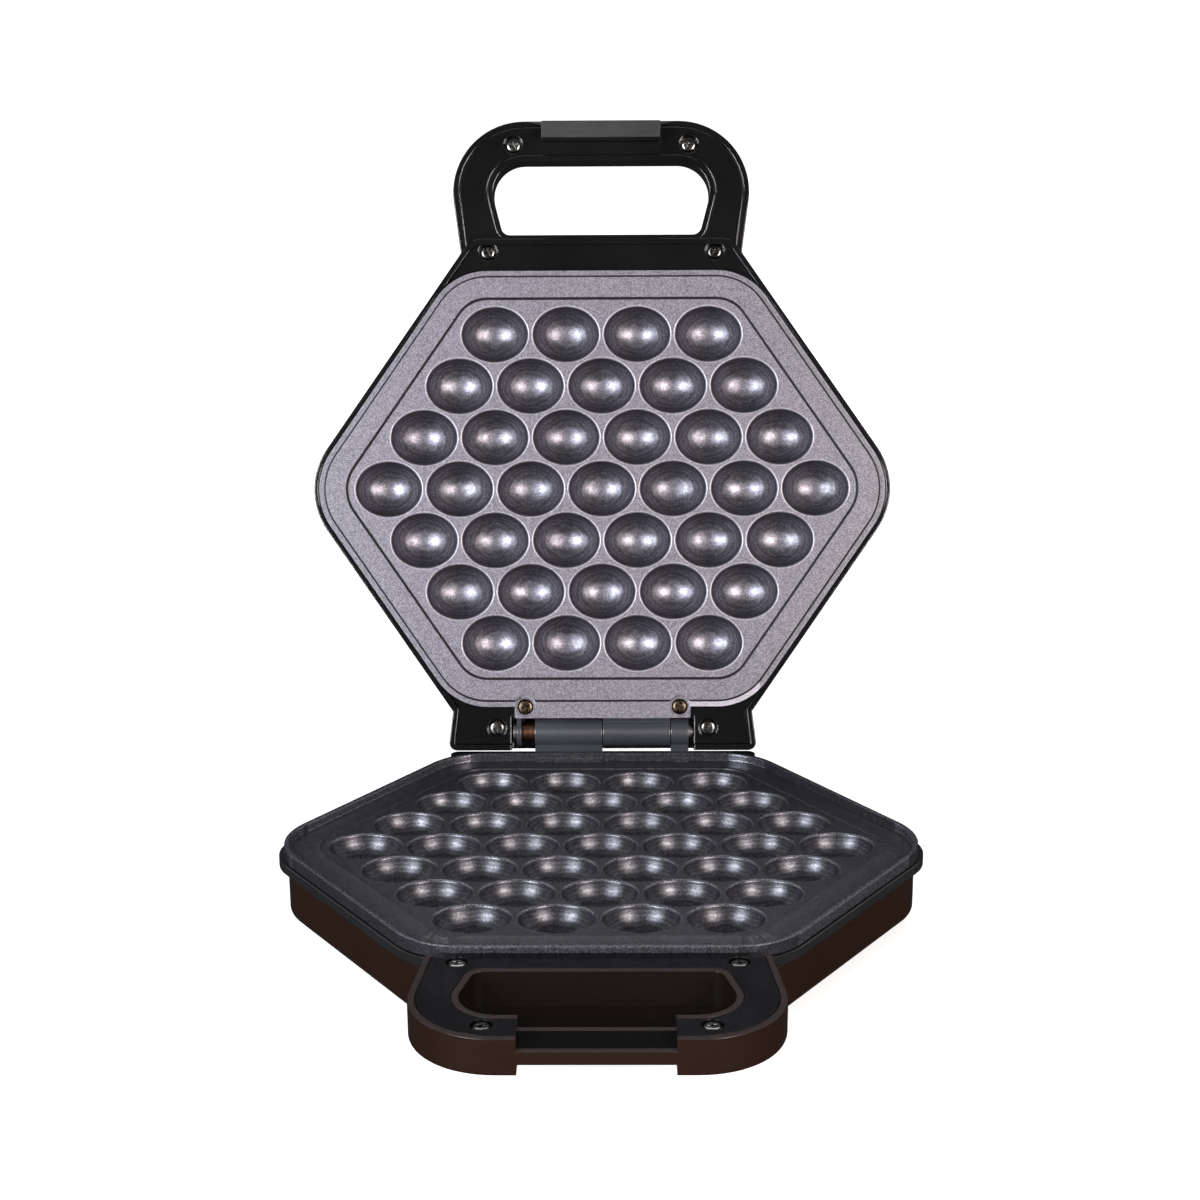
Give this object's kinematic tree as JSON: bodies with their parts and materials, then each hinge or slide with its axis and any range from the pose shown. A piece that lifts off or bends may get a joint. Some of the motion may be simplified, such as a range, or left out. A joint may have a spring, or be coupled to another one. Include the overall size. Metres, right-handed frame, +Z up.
{
  "type": "egg waffle pan",
  "caption": "Electric hexagonal egg waffle pan, lid open, with cast cup plates in two moulded halves, loop handles and a rear hinge.",
  "frame": {"origin": "middle of the open pan's bounding box, at the underside of the feet", "axes": "+Z up, +Y from the handle of the base back to the hinge, +X to the right seen from the handle"},
  "size_m": [0.2458, 0.342, 0.287],
  "materials": {
    "base_plastic": "satin, dark brown-black",
    "lid_plastic": "gloss black",
    "gloss_black_plastic": "gloss black",
    "upper_nonstick": "speckled metallic non-stick coat",
    "lower_nonstick": "speckled metallic non-stick coat",
    "steel": "drawn",
    "screw_steel": "dark nickel",
    "aluminium_sheet": "rolled sheet",
    "copper": "copper-coloured, satin",
    "black_rubber": "matte",
    "sleeve": "woven glass sleeve",
    "terminal_plastic": "natural",
    "red_lens": "clear red",
    "green_lens": "clear green"
  },
  "bodies": {
    "base": {"base_shell": "base_plastic", "base_frame": "gloss_black_plastic", "lower_plate": "lower_nonstick", "lower_heater": "steel", "lower_reflector": "aluminium_sheet", "thermostat": "steel", "thermal_fuse": "sleeve", "terminal_block": "terminal_plastic", "inlet_gland": "black_rubber", "base_handle_screws": "screw_steel", "plate_ear_screws": "screw_steel", "bottom_screws": "screw_steel", "rubber_feet": "black_rubber", "hinge_pin": "steel", "hinge_bush": "copper", "pin_clip": "steel"},
    "lid": {"lid_shell": "lid_plastic", "lid_frame": "gloss_black_plastic", "upper_plate": "upper_nonstick", "upper_heater": "steel", "upper_reflector": "aluminium_sheet", "lid_thermostat": "steel", "lid_handle_screws": "screw_steel", "lid_rear_screws": "screw_steel", "lid_lug_screws": "screw_steel", "power_lamp": "red_lens", "ready_lamp": "green_lens", "lamp_board": "terminal_plastic"}
  },
  "joints": [
    {"name": "lid_hinge", "type": "hinge", "parent": "base", "child": "lid", "pos_m": [0, 0.08724, 0.0375], "axis": [1, 0, 0], "range_deg": [0, 106.7]}
  ]
}
